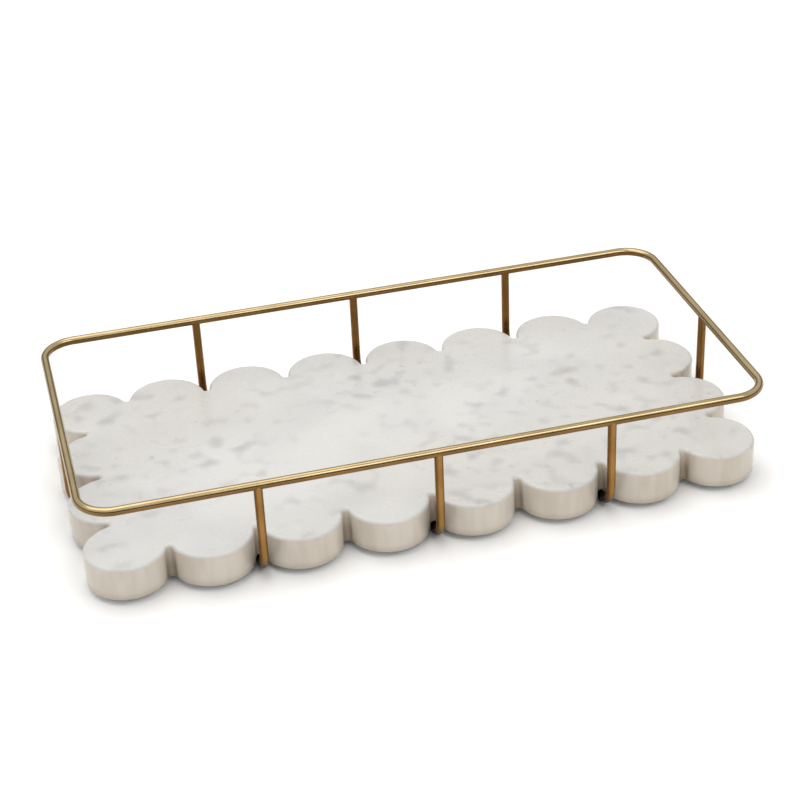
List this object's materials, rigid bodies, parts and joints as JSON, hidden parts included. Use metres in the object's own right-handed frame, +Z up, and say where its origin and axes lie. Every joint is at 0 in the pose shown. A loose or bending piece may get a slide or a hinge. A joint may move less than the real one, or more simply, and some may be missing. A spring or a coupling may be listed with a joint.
{
  "type": "vanity tray",
  "caption": "Rectangular marble vanity tray with a scalloped edge and a low brass rod gallery rail on hooked posts.",
  "frame": {"origin": "on the surface that the tray stands on, under the middle of the slab", "axes": "+X along the tray's long side, +Y from front to back, +Z up"},
  "size_m": [0.38, 0.19, 0.0623],
  "materials": {
    "marble": "honed white marble with faint grey and beige mottling",
    "brass": "satin antique brass rod, darker towards the hooks",
    "epoxy": "stone-coloured epoxy filler, trowelled flush",
    "pad": "soft matte translucent bumper"
  },
  "bodies": {
    "root": {"marble_slab": "marble", "top_rail": "brass", "front_left_post": "brass", "front_middle_post": "brass", "front_right_post": "brass", "back_left_post": "brass", "back_middle_post": "brass", "back_right_post": "brass", "left_end_post": "brass", "right_end_post": "brass", "front_left_epoxy_anchor": "epoxy", "front_middle_epoxy_anchor": "epoxy", "front_right_epoxy_anchor": "epoxy", "back_left_epoxy_anchor": "epoxy", "back_middle_epoxy_anchor": "epoxy", "back_right_epoxy_anchor": "epoxy", "left_end_epoxy_anchor": "epoxy", "right_end_epoxy_anchor": "epoxy", "front_left_pad": "pad", "front_right_pad": "pad", "back_left_pad": "pad", "back_right_pad": "pad"}
  },
  "joints": []
}
